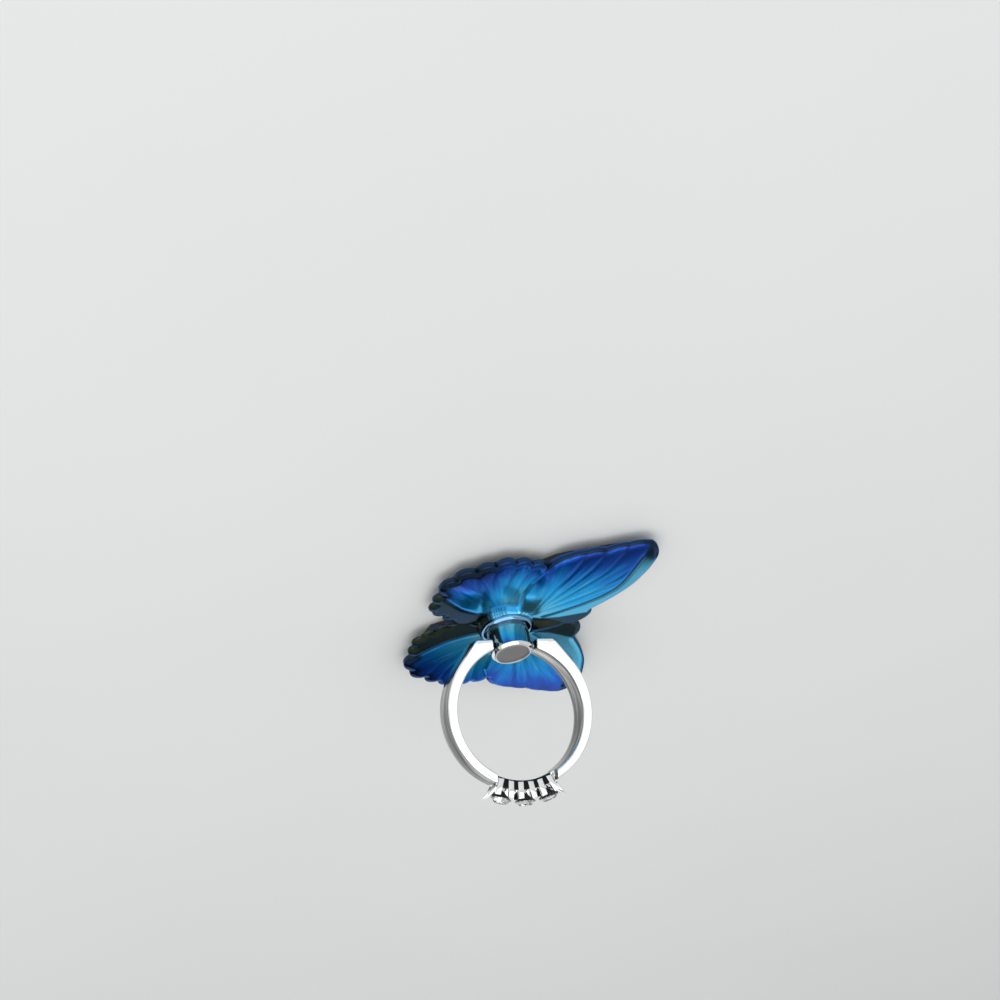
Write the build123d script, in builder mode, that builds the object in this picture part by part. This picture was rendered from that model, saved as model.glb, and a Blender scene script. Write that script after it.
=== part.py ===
from build123d import *
from math import cos, degrees, radians, sin, sqrt
import os

os.makedirs("parts", exist_ok=True)

# Ring holder: a butterfly base that sticks to a flat back, a swivel post and a folding finger ring.
# Millimetres, +Z up. Origin on the swivel axis, on the adhesive face. X runs along the insect's body.

# Base
pad_thickness = 0.8
pad_scale = 0.86
dome_radius = 110.0
crest_offset = 12.0
crest_rise = 0.05
seat_height = 3.0
lip_height = 1.7
plate_drop = 0.35
hind_drop = 0.15
fore_drop = 0.0
vein_width = 0.5
cell_scale = 0.95
body_half_width = 1.9
body_low = 1.7
body_front = 11.8
body_back = -6.8
seat_land = 0.3

# Swivel
post_radius = 3.3
post_top = 7.75
post_chamfer = 0.4
foot_groove = 0.2
dish_rim = 0.3
dish_depth = 0.1
flange_radius = 4.1
flange_height = 0.75
flange_bevel = 0.5
bush_radius = 2.5
spigot_radius = 1.5
run_clearance = 0.03
axial_clearance = 0.03
recess_radius = 3.5
floor_thickness = 0.9
spring_radius = 3.0
spring_thickness = 0.2
spring_cone = 0.18
washer_radius = 2.9
washer_thickness = 0.3
head_radius = 2.2
head_thickness = 0.4

# Finger ring
tilt = 22.0
pivot_height = 6.35
inner_radius = 10.35
hole_rise = 0.1
band_thickness = 1.6
band_rise = 0.25
ring_width = 4.2
ring_bevel = 0.4
flat_height = 0.85
shoulder_turn = 52.0
end_clearance = 0.3
pin_radius = 0.45
pin_grip = 1.3
waist_depth = 1.45
waist_reach = 5.0
waist_rise = 4.2

# Setting and stones
stone_radius = 1.6
girdle_thickness = 0.1
crown_height = 0.6
star_height = 0.38
pavilion_depth = 1.3
table_radius = 0.9
star_radius = 1.2
culet_gap = 0.45
stone_gap = 0.8
stone_clearance = 0.02
bar_width = 0.95
bar_depth = 0.5
bar_root_depth = 0.85
bar_foot_side = 0.8
bar_foot_face = 1.05
bar_foot_inset = 0.15
bar_tip_drop = 0.3
bar_turn = 60.0
claw_foot = 1.4
claw_foot_half = 0.75
claw_reach = 2.7
claw_tip_half = 0.65
claw_low = -1.3
claw_high = 0.7
claw_radius = 0.42

# Outline of one half of the butterfly, from the notch between the head lobes round to the tail gap
head_notch = (12.5, 0.0)
head_lobe = (13.75, 2.0)
costa = [(13.4, 4.2), (15.9, 7.8), (17.75, 11.4), (18.85, 15.3), (19.2, 17.8)]
wing_tip = (18.75, 20.4)
fore_margin = [(17.0, 22.3), (13.4, 21.75), (10.1, 20.5), (7.0, 19.9), (4.3, 18.9), (2.4, 17.4), (1.7, 15.9)]
hind_margin = [
    (1.7, 15.9),
    (-0.9, 16.9),
    (-3.6, 17.3),
    (-6.7, 16.5),
    (-9.3, 15.1),
    (-12.3, 12.9),
    (-13.1, 8.8),
    (-13.5, 6.2),
    (-13.0, 3.6),
    (-10.9, 2.4),
    (-9.1, 0.7),
]
tail_gap = (-7.4, 0.0)
margin_bulge = 0.08
scallop_bulge = 0.3

# Wing cells: middle of each wing, root of its veins, the crease where the forewing lies over the
# hindwing, the inner edge of the hindwing, and the bend, turn and end of each vein
fore_middle = (9.5, 12.0)
fore_root = (3.4, 4.2)
hind_middle = (-4.5, 10.5)
hind_root = (-1.4, 4.0)
crease = [(0.9, 3.9), (-0.1, 8.5), (0.2, 12.5), (1.7, 15.9)]
hind_inner = [(-13.1, 8.8), (-8.8, 5.2), (-4.8, 3.5), (0.9, 3.9)]
fore_veins = [
    ((9.5, 8.4), (15.0, 15.2), (17.0, 22.3)),
    ((8.0, 10.0), (11.8, 16.0), (13.4, 21.75)),
    ((6.2, 10.2), (8.8, 15.6), (10.1, 20.5)),
    ((4.4, 10.0), (6.0, 15.0), (7.0, 19.9)),
]
hind_veins = [
    ((-1.5, 8.8), (-1.5, 13.2), (-0.9, 16.9)),
    ((-3.0, 8.8), (-3.7, 13.2), (-3.6, 17.3)),
    ((-4.4, 8.4), (-6.2, 12.6), (-6.7, 16.5)),
    ((-5.4, 7.8), (-8.2, 11.4), (-9.3, 15.1)),
    ((-6.2, 6.8), (-10.2, 9.8), (-12.3, 12.9)),
]

# Heights that follow from the sizes above
recess_top = seat_height - floor_thickness
spring_height = spring_thickness + spring_cone
washer_top = recess_top - axial_clearance - spring_height
head_top = washer_top - washer_thickness
flange_top = seat_height + flange_height
column_foot = flange_top + axial_clearance
dish_radius = post_radius - post_chamfer - dish_rim
inner_centre = inner_radius + hole_rise
end_gap = post_radius + end_clearance
ring_axis = (0, -cos(radians(tilt)), -sin(radians(tilt)))
ring_plane = Plane(origin=(0, 0, pivot_height), x_dir=(1, 0, 0), z_dir=ring_axis)
body_middle = (body_front + body_back) / 2
outer_radius = inner_radius + band_thickness
outer_centre = inner_centre - band_rise
girdle_height = outer_radius - band_rise + culet_gap + pavilion_depth
stone_step = degrees((2 * stone_radius + stone_gap) / girdle_height)
ring_centre = ring_plane.from_local_coords((0, inner_centre, 0))


def dome(drop):
    """Two shallow vaults side by side along the body, one over each pair of wings, to trim what stands above."""
    with BuildPart() as vaults:
        for side in (-1, 1):
            crown = seat_height + crest_rise - drop
            with Locations(Location((0, side * crest_offset, crown - dome_radius), (0, 90, 0))):
                Cylinder(dome_radius, dome_radius)
    return vaults.part


def scallops(points, bulge):
    """Chain of outward arcs through the points, each bulging by a share of its own length."""
    for a, b in zip(points, points[1:]):
        SagittaArc(a, b, -bulge * (Vector(*b) - Vector(*a)).length)


def half_outline():
    """Closed line round one half of the butterfly, drawn inside the running line block."""
    ThreePointArc(head_notch, head_lobe, costa[0])
    Spline(*costa)
    ThreePointArc(costa[-1], wing_tip, fore_margin[0])
    scallops(fore_margin, margin_bulge)
    scallops(hind_margin, scallop_bulge)
    Line(hind_margin[-1], tail_gap)
    Line(tail_gap, head_notch)


def toward(points, middle, part):
    """Points drawn in toward a middle point, so that a cell stays inside its wing's edge."""
    return [(middle[0] + (x - middle[0]) * part, middle[1] + (y - middle[1]) * part) for x, y in points]


def fore_loop():
    """Closed line round the raised field of a forewing."""
    front = toward(costa, fore_middle, cell_scale)
    tip = toward([wing_tip], fore_middle, cell_scale)
    margin = toward(fore_margin, fore_middle, cell_scale)
    back = toward(crease, fore_middle, cell_scale)
    Spline(*front)
    ThreePointArc(front[-1], tip[0], margin[0])
    scallops(margin, margin_bulge)
    Spline(*reversed(back))
    Line(back[0], front[0])


def hind_loop():
    """Closed line round the raised field of a hindwing."""
    inner = toward(hind_inner, hind_middle, cell_scale)
    margin = toward(hind_margin[:7], hind_middle, cell_scale)
    front = toward(crease, hind_middle, cell_scale)
    Spline(*front)
    scallops(margin, scallop_bulge)
    Spline(*inner)


def shoulder():
    """Corner of the ring's flat shoulder, and the point where its slope runs into the round outside."""
    turn = radians(shoulder_turn)
    side = (outer_radius * sin(turn), outer_centre - outer_radius * cos(turn))
    run = (side[1] + flat_height) / sin(turn)
    return (side[0] - run * cos(turn), -flat_height), side


def stone_plane(step, height):
    """Plane across the ring's radius at one stone, at a distance from the ring's centre."""
    turn = radians(step * stone_step)
    out = ring_plane.x_dir * sin(turn) + ring_plane.y_dir * cos(turn)
    along = ring_plane.x_dir * cos(turn) - ring_plane.y_dir * sin(turn)
    return Plane(origin=ring_centre + out * height, x_dir=along, z_dir=out)


def cup(step):
    """Four broad bars that lean outward from the band and carry one stone by its pavilion."""
    middle = stone_plane(step, girdle_height)
    foot = inner_radius + bar_foot_inset - girdle_height
    seat = stone_radius * (1 - bar_tip_drop / pavilion_depth) + stone_clearance
    tip_side = seat * cos(radians(bar_turn)) + bar_width / 2
    tip_face = seat * sin(radians(bar_turn)) + bar_depth
    levels = (
        (bar_foot_side, bar_foot_face - bar_root_depth, bar_foot_face, foot),
        (tip_side, tip_face - bar_depth, tip_face, -bar_tip_drop),
    )
    with BuildPart() as bars:
        for side, face in ((-1, -1), (-1, 1), (1, -1), (1, 1)):
            corners = []
            for centre, back, front, height in levels:
                for edge in (-bar_width / 2, bar_width / 2):
                    corners.append((side * (centre + edge), face * back, height))
                    corners.append((side * (centre + edge), face * front, height))
            ConvexPolyhedron([middle.from_local_coords(corner) for corner in corners])
    return bars.part


def claw(end):
    """Pair of pointed corner prongs beyond an outer stone."""
    root = stone_plane(end, girdle_height)
    with BuildPart() as prongs:
        for lean in (-1, 1):
            corners = [(end * claw_reach, lean * claw_tip_half, claw_high)]
            for across, up in ((-1, -1), (-1, 1), (1, -1), (1, 1)):
                side = lean * (claw_foot_half + across * claw_radius)
                corners.append((end * claw_foot, side, claw_low + up * claw_radius))
            ConvexPolyhedron([root.from_local_coords(corner) for corner in corners])
    return prongs.part


def pad_face():
    """Face that follows the wings a little inside their edge."""
    with BuildSketch() as face:
        with BuildLine():
            Polyline(head_notch, *costa, *fore_margin, *hind_margin[1:], tail_gap, close=True)
        make_face()
        mirror(about=Plane.XZ)
        scale(by=pad_scale)
    return face.sketch


# Adhesive pad
with BuildPart() as adhesive_pad:
    with BuildSketch():
        add(pad_face())
    extrude(amount=pad_thickness)
adhesive_pad.part.label = "adhesive_pad"
export_step(adhesive_pad.part, "parts/adhesive_pad.step")

# Butterfly base: plate, raised wing cells between sunk veins, body ridge, seat and recess of the swivel
with BuildPart() as hind_cells:
    with BuildSketch(Plane.XY.offset(lip_height)):
        with BuildLine():
            hind_loop()
        make_face()
        with BuildLine():
            for bend, turn, end in hind_veins:
                Polyline(hind_root, bend, turn, end)
        trace(line_width=vein_width, mode=Mode.SUBTRACT)
        mirror(about=Plane.XZ)
    extrude(amount=seat_height)
    add(dome(hind_drop), mode=Mode.INTERSECT)

with BuildPart() as fore_cells:
    with BuildSketch(Plane.XY.offset(lip_height)):
        with BuildLine():
            fore_loop()
        make_face()
        with BuildLine():
            for bend, turn, end in fore_veins:
                Polyline(fore_root, bend, turn, end)
        trace(line_width=vein_width, mode=Mode.SUBTRACT)
        mirror(about=Plane.XZ)
    extrude(amount=seat_height)
    add(dome(fore_drop), mode=Mode.INTERSECT)

with BuildPart() as butterfly_base:
    with BuildSketch(Plane.XY.offset(lip_height)):
        with BuildLine():
            half_outline()
        make_face()
        mirror(about=Plane.XZ)
    extrude(amount=seat_height)
    add(dome(plate_drop), mode=Mode.INTERSECT)
    with BuildSketch(Plane.XY.offset(pad_thickness)):
        add(pad_face())
    extrude(amount=lip_height - pad_thickness)
    add(hind_cells.part)
    add(fore_cells.part)
    with BuildSketch(Plane.XZ.offset(0)):
        with BuildLine():
            ThreePointArc((body_front, body_low), (body_middle, body_low + body_half_width), (body_back, body_low))
            Line((body_back, body_low), (body_front, body_low))
        make_face()
    revolve(axis=Axis((0, 0, body_low), (1, 0, 0)))
    with Locations((0, 0, pad_thickness)):
        Box(4 * dome_radius, dome_radius, dome_radius, align=(Align.CENTER, Align.CENTER, Align.MAX), mode=Mode.SUBTRACT)
    with Locations((0, 0, pad_thickness)):
        Cylinder(flange_radius + seat_land, seat_height - pad_thickness, align=(Align.CENTER, Align.CENTER, Align.MIN))
    with Locations((0, 0, seat_height)):
        Cylinder(flange_radius + seat_land, seat_height, align=(Align.CENTER, Align.CENTER, Align.MIN), mode=Mode.SUBTRACT)
    with Locations((0, 0, pad_thickness)):
        Cylinder(recess_radius, recess_top - pad_thickness, align=(Align.CENTER, Align.CENTER, Align.MIN), mode=Mode.SUBTRACT)
        Cylinder(bush_radius, seat_height, align=(Align.CENTER, Align.CENTER, Align.MIN), mode=Mode.SUBTRACT)
butterfly_base.part.label = "butterfly_base"
export_step(butterfly_base.part, "parts/butterfly_base.step")

# Swivel bush, pressed into the base
with BuildPart() as swivel_bush:
    with BuildSketch(Plane.XZ):
        with BuildLine():
            Polyline(
                (spigot_radius + run_clearance, recess_top),
                (bush_radius, recess_top),
                (bush_radius, seat_height),
                (flange_radius, seat_height),
                (flange_radius, flange_top - flange_bevel),
                (flange_radius - flange_bevel / 4, flange_top - flange_bevel / 4),
                (flange_radius - flange_bevel, flange_top),
                (spigot_radius + run_clearance, flange_top),
                close=True,
            )
        make_face()
    revolve(axis=Axis.Z)
swivel_bush.part.label = "swivel_bush"
export_step(swivel_bush.part, "parts/swivel_bush.step")

# Swivel post with its spigot and riveted head
with BuildPart() as swivel_post:
    with BuildSketch(Plane.XZ):
        with BuildLine():
            Polyline(
                (0, head_top - head_thickness),
                (head_radius, head_top - head_thickness),
                (head_radius, head_top),
                (spigot_radius, head_top),
                (spigot_radius, column_foot),
                (post_radius - foot_groove, column_foot),
                (post_radius - foot_groove, column_foot + foot_groove),
                (post_radius, column_foot + 2 * foot_groove),
                (post_radius, post_top - post_chamfer),
                (post_radius - post_chamfer, post_top),
                (dish_radius, post_top),
                (dish_radius, post_top - dish_depth),
                (0, post_top - dish_depth),
                (0, head_top - head_thickness),
            )
        make_face()
    revolve(axis=Axis.Z)
    with Locations(Location((0, 0, pivot_height), (0, 90, 0))):
        Cylinder(pin_radius, 3 * post_radius, mode=Mode.SUBTRACT)
swivel_post.part.label = "swivel_post"
export_step(swivel_post.part, "parts/swivel_post.step")

# Disc spring that gives the swivel its drag
with BuildPart() as disc_spring:
    with BuildSketch(Plane.XZ):
        with BuildLine():
            Polyline(
                (spigot_radius + run_clearance, washer_top),
                (spigot_radius + run_clearance, washer_top + spring_thickness),
                (spring_radius, washer_top + spring_height),
                (spring_radius, washer_top + spring_cone),
                close=True,
            )
        make_face()
    revolve(axis=Axis.Z)
disc_spring.part.label = "disc_spring"
export_step(disc_spring.part, "parts/disc_spring.step")

# Retaining washer under the spring, held by the riveted head
with BuildPart() as retaining_washer:
    with BuildSketch(Plane.XY.offset(head_top)):
        Circle(washer_radius)
        Circle(spigot_radius + run_clearance, mode=Mode.SUBTRACT)
    extrude(amount=washer_thickness)
retaining_washer.part.label = "retaining_washer"
export_step(retaining_washer.part, "parts/retaining_washer.step")

# Hinge pin, pressed through the post
with BuildPart() as hinge_pin:
    with Locations(Location((0, 0, pivot_height), (0, 90, 0))):
        Cylinder(pin_radius, 2 * (end_gap + pin_grip - end_clearance / 2))
hinge_pin.part.label = "hinge_pin"
export_step(hinge_pin.part, "parts/hinge_pin.step")

# Finger ring: band with flat shoulders, narrowed under the setting, and the cups of bars for the stones
basket = [cup(step) for step in (-1, 0, 1)] + [claw(end) for end in (-1, 1)]

with BuildPart() as finger_ring:
    corner, side = shoulder()
    end_low = inner_centre - sqrt(inner_radius**2 - end_gap**2)
    with BuildSketch(ring_plane):
        with BuildLine():
            Polyline((end_gap, end_low), (end_gap, -flat_height), corner, side)
            ThreePointArc(side, (0, outer_centre + outer_radius), (-side[0], side[1]))
            Polyline((-side[0], side[1]), (-corner[0], corner[1]), (-end_gap, -flat_height))
            Line((-end_gap, -flat_height), (-end_gap, end_low))
            ThreePointArc((-end_gap, end_low), (0, inner_centre + inner_radius), (end_gap, end_low))
        make_face()
    extrude(amount=ring_width / 2, both=True)
    across = Axis(ring_plane.origin, ring_plane.z_dir)
    rims = finger_ring.faces().sort_by(across)[0].edges() + finger_ring.faces().sort_by(across)[-1].edges()
    chamfer([e for e in rims if e.length > 2.5 * flat_height], ring_bevel)
    for face in (-1, 1):
        with BuildSketch(ring_plane.offset(face * (ring_width / 2 - waist_depth))):
            with Locations((0, inner_centre + outer_radius)):
                Rectangle(2 * waist_reach, 2 * waist_rise)
        extrude(amount=face * 2 * waist_depth, mode=Mode.SUBTRACT)
    add(basket)
    with Locations(Location((0, 0, pivot_height), (0, 90, 0))):
        Cylinder(pin_radius + run_clearance, 2 * (end_gap + pin_grip), mode=Mode.SUBTRACT)
finger_ring.part.label = "finger_ring"
export_step(finger_ring.part, "parts/finger_ring.step")


# Three stones in a round brilliant cut
def cut_stone(step):
    """Flat facets between the table, the star points, the girdle and the culet."""
    levels = (
        (8, 0.5, table_radius, girdle_thickness + crown_height),
        (8, 0.0, star_radius, girdle_thickness + star_height),
        (16, 0.0, stone_radius, girdle_thickness),
        (16, 0.0, stone_radius, 0.0),
    )
    corners = [(0, 0, -pavilion_depth)]
    for count, shift, radius, height in levels:
        for number in range(count):
            turn = radians((number + shift) * 360 / count)
            corners.append((radius * cos(turn), radius * sin(turn), height))
    middle = stone_plane(step, girdle_height)
    with BuildPart() as stone:
        ConvexPolyhedron([middle.from_local_coords(corner) for corner in corners])
    return stone.part


for step, name in ((-1, "stone_left"), (0, "stone_centre"), (1, "stone_right")):
    piece = cut_stone(step)
    piece.label = name
    export_step(piece, f"parts/{name}.step")
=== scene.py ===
# %% [markdown]
# # A butterfly ring holder
# This lesson dresses a small folding ring holder. A butterfly base of glossy blue resin carries a chrome
# swivel post, and a chrome finger ring with three clear stones folds at the post.
# The construction is loaded first as a fixed frame, so every new piece is made at its real place, in metres.

# %% Load the frame
from math import atan2, cos, pi, radians, sin, sqrt

import bmesh
import bpy
import numpy as np
from mathutils import Matrix, Vector
from mathutils.geometry import delaunay_2d_cdt


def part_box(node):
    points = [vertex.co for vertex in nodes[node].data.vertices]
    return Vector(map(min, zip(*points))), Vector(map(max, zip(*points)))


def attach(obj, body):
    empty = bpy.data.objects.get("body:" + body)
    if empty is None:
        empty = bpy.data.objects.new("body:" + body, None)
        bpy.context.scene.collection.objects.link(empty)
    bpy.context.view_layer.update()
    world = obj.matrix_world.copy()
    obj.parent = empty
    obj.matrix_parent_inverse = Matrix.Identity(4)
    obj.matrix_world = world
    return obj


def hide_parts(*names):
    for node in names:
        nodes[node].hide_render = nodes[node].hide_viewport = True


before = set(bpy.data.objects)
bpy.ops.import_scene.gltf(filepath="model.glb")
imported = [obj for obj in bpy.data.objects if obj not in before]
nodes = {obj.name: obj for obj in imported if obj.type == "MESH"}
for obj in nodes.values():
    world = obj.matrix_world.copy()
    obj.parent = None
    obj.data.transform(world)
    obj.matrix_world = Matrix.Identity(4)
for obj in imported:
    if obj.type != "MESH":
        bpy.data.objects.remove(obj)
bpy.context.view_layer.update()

scene = bpy.context.scene
scene.view_settings.view_transform = "Standard"
mm = 0.001
print("solids in the frame:", sorted(nodes))


# %% [markdown]
# ## Camera
# The holder is seen from above its left wing, with the swivel axis pointing down in the picture, so the
# camera is rolled. A camera can be aimed with a constraint, but three unit vectors (right, up and back) say
# the roll as well, and they make the columns of its matrix.

# %% Camera
bpy.ops.object.camera_add()
camera = bpy.context.object
camera.name = "camera"
camera.data.lens = 58.638
camera.data.sensor_width = 36.0
camera.data.clip_start = 0.005
camera.data.clip_end = 20.0
right = Vector((0.93117, 0.29428, 0.21521)).normalized()
back = Vector((-0.36457, 0.74861, 0.55378)).normalized()
up = back.cross(right).normalized()
place = Vector((-94.495, 203.785, 128.604)) * mm
turn = Matrix((right, up, back)).transposed()
camera.matrix_world = Matrix.Translation(place) @ turn.to_4x4()
scene.camera = camera
print("camera at", [round(c / mm, 1) for c in place], "mm")


# %% [markdown]
# ## Shader maths
# Node trees grow quickly when every sum is a node of its own. This small class wraps one socket, so that
# `1 - mask` or `a * b` writes the Math node for us, and `node` makes any other node in one line.

# %% Shader class
class Value:
    """One output socket of a node tree, with arithmetic that adds Math nodes."""

    def __init__(self, tree, socket=None):
        self.tree = tree
        self.socket = socket

    def node(self, kind, settings=None, out=0, **inputs):
        """Adds a node: its settings are set first, then each socket takes a value or a link."""
        made = self.tree.nodes.new(kind)
        for key, value in (settings or {}).items():
            if key == "stops":
                ramp = made.color_ramp
                while len(ramp.elements) < len(value):
                    ramp.elements.new(1.0)
                for element, (spot, colour) in zip(ramp.elements, value):
                    element.position = spot
                    element.color = (*colour, 1.0)
            else:
                setattr(made, key, value)
        for key, value in inputs.items():
            name = int(key[1:]) if key[0] == "i" and key[1:].isdigit() else key.replace("_", " ")
            if isinstance(value, Value):
                self.tree.links.new(value.socket, made.inputs[name])
            else:
                made.inputs[name].default_value = value
        return Value(self.tree, made.outputs[out])

    def math(self, operation, *others):
        values = dict(zip(("i0", "i1", "i2"), others))
        return self.node("ShaderNodeMath", {"operation": operation}, **values)

    def __add__(self, other):
        return self.math("ADD", self, other)

    def __radd__(self, other):
        return self.math("ADD", other, self)

    def __sub__(self, other):
        return self.math("SUBTRACT", self, other)

    def __rsub__(self, other):
        return self.math("SUBTRACT", other, self)

    def __mul__(self, other):
        return self.math("MULTIPLY", self, other)

    def __truediv__(self, other):
        return self.math("DIVIDE", self, other)

    def power(self, exponent):
        return self.math("POWER", self, exponent)

    def least(self, other):
        return self.math("MINIMUM", self, other)

    def most(self, other):
        return self.math("MAXIMUM", self, other)

    def step(self, low, high):
        """0 below low and 1 above high, with a smooth rise between."""
        settings = {"interpolation_type": "SMOOTHSTEP"}
        return self.node("ShaderNodeMapRange", settings, Value=self, From_Min=low, From_Max=high)

    def ramp(self, *stops):
        return self.node("ShaderNodeValToRGB", {"stops": stops}, Fac=self)

    def mix(self, first, second):
        """Colour mix, with this value as the factor."""
        return self.node("ShaderNodeMix", {"data_type": "RGBA"}, 2, i0=self, i6=first, i7=second)


def rgb(red, green, blue):
    """A colour with its alpha, as colour sockets want it."""
    return (red, green, blue, 1.0)


def new_material(name):
    """Empty material with a Principled shader, and a Value that starts its node maths."""
    material = bpy.data.materials.new(name)
    material.use_nodes = True
    shader = material.node_tree.nodes["Principled BSDF"]
    return material, shader, Value(material.node_tree)


def wire(shader, **inputs):
    """Values are set on the shader's own sockets, and Values are linked to them."""
    tree = shader.id_data
    for key, value in inputs.items():
        socket = shader.inputs[key.replace("_", " ")]
        if isinstance(value, Value):
            tree.links.new(value.socket, socket)
        else:
            socket.default_value = value


def object_place(start):
    return start.node("ShaderNodeTexCoord", out=3)


def noise(start, place, scale, detail=3.0, roughness=0.5):
    settings = {"Vector": place, "Scale": scale, "Detail": detail, "Roughness": roughness}
    return start.node("ShaderNodeTexNoise", **settings)


def bump(start, height, strength, distance):
    return start.node("ShaderNodeBump", None, 0, Strength=strength, Distance=distance, Height=height)


print("shader helpers ready")


# %% [markdown]
# ## Floor, sky and lamp
# The holder lies on a wide pale satin sheet. Metal shows what stands round it, so the sky is the real light
# here: bright low panels in front and behind, a slanted dark panel above the one behind, a low dark block
# beside it, and a faint dusk on the viewer's side. Those dark parts draw the lines that make chrome and the
# pearly wings read as such. A soft lamp on the viewer's side only lightens the shadow under the wings.

# %% Floor
floor_radius = 4.0
floor_drop = 0.02
bpy.ops.mesh.primitive_circle_add(
    vertices=128, radius=floor_radius, fill_type="NGON", location=(0, 0, -floor_drop * mm)
)
floor = bpy.context.object
floor.name = "floor"
bpy.ops.object.transform_apply(location=True, rotation=True, scale=True)
material, shader, start = new_material("pale_sheet")
cloud = noise(start, object_place(start), 9.0, 4.0)
wire(shader, Base_Color=cloud.mix(rgb(0.66, 0.675, 0.665), rgb(0.71, 0.725, 0.715)), Roughness=0.45)
wire(shader, Specular_IOR_Level=0.3)
floor.data.materials.append(material)
print("floor", floor.dimensions[:])

# %% Sky
world = bpy.data.worlds.new("studio")
scene.world = world
world.use_nodes = True
tree = world.node_tree
backdrop = tree.nodes["Background"]
start = Value(tree)
direction = start.node("ShaderNodeTexCoord", out=0)
across, side, height = (start.node("ShaderNodeSeparateXYZ", out=axis, Vector=direction) for axis in range(3))
dot = {"operation": "DOT_PRODUCT"}
toward_viewer = start.node("ShaderNodeVectorMath", dot, 1, i0=direction, i1=back[:])
sky_grey = rgb(0.74, 0.745, 0.75)
front_white = rgb(1.30, 1.30, 1.30)
back_white = rgb(1.0, 1.0, 1.0)
night = rgb(0.022, 0.026, 0.03)
behind = (side * -1.0).step(0.05, 0.40)
slant = height - (across - 0.33).most(-0.03).least(0.12) * 1.2
dark_panel = behind * slant.step(0.425, 0.50) * (1.0 - height.step(0.57, 0.70) * 0.75)
dark_panel = dark_panel * (1.0 - height.step(0.88, 0.97))
low_block = behind * across.step(0.42, 0.54) * (1.0 - height.step(0.12, 0.26))
dusk = dark_panel.most(toward_viewer.step(0.86, 0.95) * 0.25).most(low_block * 0.75)
front_panel = side.step(0.45, 0.80) * (1.0 - height.step(0.34, 0.46))
back_panel = behind * (1.0 - height.step(0.40, 0.47))
lit = back_panel.mix(front_panel.mix(sky_grey, front_white), back_white)
sky = dusk.mix(lit, night)
tree.links.new(sky.socket, backdrop.inputs["Color"])
backdrop.inputs["Strength"].default_value = 1.0
print("sky made")

# %% Lamp
lamp_place = Vector((-0.14, 0.26, 0.42))
bpy.ops.object.light_add(type="AREA", location=lamp_place)
lamp = bpy.context.object
lamp.name = "softbox"
lamp.data.size = 0.70
lamp.data.energy = 1.90
lamp.rotation_euler = lamp_place.to_track_quat("Z", "Y").to_euler()
print("lamp at", lamp.location[:])


# %% [markdown]
# ## The butterfly's outline
# One half is drawn and the other is its mirror. The wing edge is a chain of shallow arcs between a few
# points, so a change of one point moves a whole scallop.

# %% Outline points, in millimetres
head = [(12.5, 0.0), (13.75, 2.0), (13.4, 4.2)]
costa = [(13.4, 4.2), (15.9, 7.8), (17.75, 11.4), (18.85, 15.3), (19.2, 17.8)]
wing_tip = [(19.2, 17.8), (18.75, 20.4), (17.0, 22.3)]
fore_margin = [
    (17.0, 22.3), (13.4, 21.75), (10.1, 20.5), (7.0, 19.9), (4.3, 18.9), (2.4, 17.4), (1.7, 15.9),
]
hind_margin = [
    (1.7, 15.9), (-0.9, 16.9), (-3.6, 17.3), (-6.7, 16.5), (-9.3, 15.1), (-12.3, 12.9),
    (-13.1, 8.8), (-13.5, 6.2), (-13.0, 3.6), (-10.9, 2.4), (-9.1, 0.7),
]
tail_gap = (-7.4, 0.0)
fore_bulge = 0.08
hind_bulge = 0.3
edge_spacing = 0.2


def arc(a, middle, b):
    """Points of the circle through three points, from a up to b."""
    a, middle, b = (np.array(p, float) for p in (a, middle, b))
    d = 2 * (a[0] * (middle[1] - b[1]) + middle[0] * (b[1] - a[1]) + b[0] * (a[1] - middle[1]))
    squares = [p @ p for p in (a, middle, b)]
    centre = np.array((
        (squares[0] * (middle[1] - b[1]) + squares[1] * (b[1] - a[1]) + squares[2] * (a[1] - middle[1])) / d,
        (squares[0] * (b[0] - middle[0]) + squares[1] * (a[0] - b[0]) + squares[2] * (middle[0] - a[0])) / d,
    ))
    first, mid, last = (atan2(*(p - centre)[::-1]) for p in (a, middle, b))
    sweep = (last - first) % (2 * pi)
    if (mid - first) % (2 * pi) > sweep:
        sweep -= 2 * pi
    radius = np.linalg.norm(a - centre)
    count = max(4, int(abs(sweep) * radius / edge_spacing))
    turns = first + sweep * np.linspace(0, 1, count + 1)
    return centre + radius * np.stack((np.cos(turns), np.sin(turns)), 1)


def scallops(points, bulge):
    """Chain of outward arcs through the points, each bulging by a share of its length."""
    runs = []
    for a, b in zip(points, points[1:]):
        a, b = np.array(a), np.array(b)
        along = b - a
        out = np.array((along[1], -along[0]))
        runs.append(arc(a, (a + b) / 2 + out * bulge, b)[:-1])
    return np.concatenate(runs + [np.array([points[-1]])])


def flowing(points, steps=16):
    """Smooth line through the points."""
    p = np.array([points[0], *points, points[-1]], float)
    t = np.linspace(0, 1, steps, endpoint=False)[:, None]
    runs = []
    for a, b, c, d in zip(p, p[1:], p[2:], p[3:]):
        runs.append(b + 0.5 * t * (c - a + t * (2 * a - 5 * b + 4 * c - d + t * (3 * (b - c) + d - a))))
    return np.concatenate(runs + [p[-1:]])


front_edge = np.concatenate((arc(*head)[:-1], flowing(costa)[:-1], arc(*wing_tip)[:-1]))
outer_edge = np.concatenate((scallops(fore_margin, fore_bulge)[:-1], scallops(hind_margin, hind_bulge)))
half_edge = np.concatenate((front_edge, outer_edge, [tail_gap]))
print("points on half the outline:", len(half_edge))


# %% [markdown]
# ## Reading the wing
# Colour and relief follow the same lines: the veins that fan from each wing's root, the crease where the
# forewing lies over the hindwing, and the distance to the edge. The lines are measured once, and both the
# height of the surface and its paint read the result.

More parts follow.
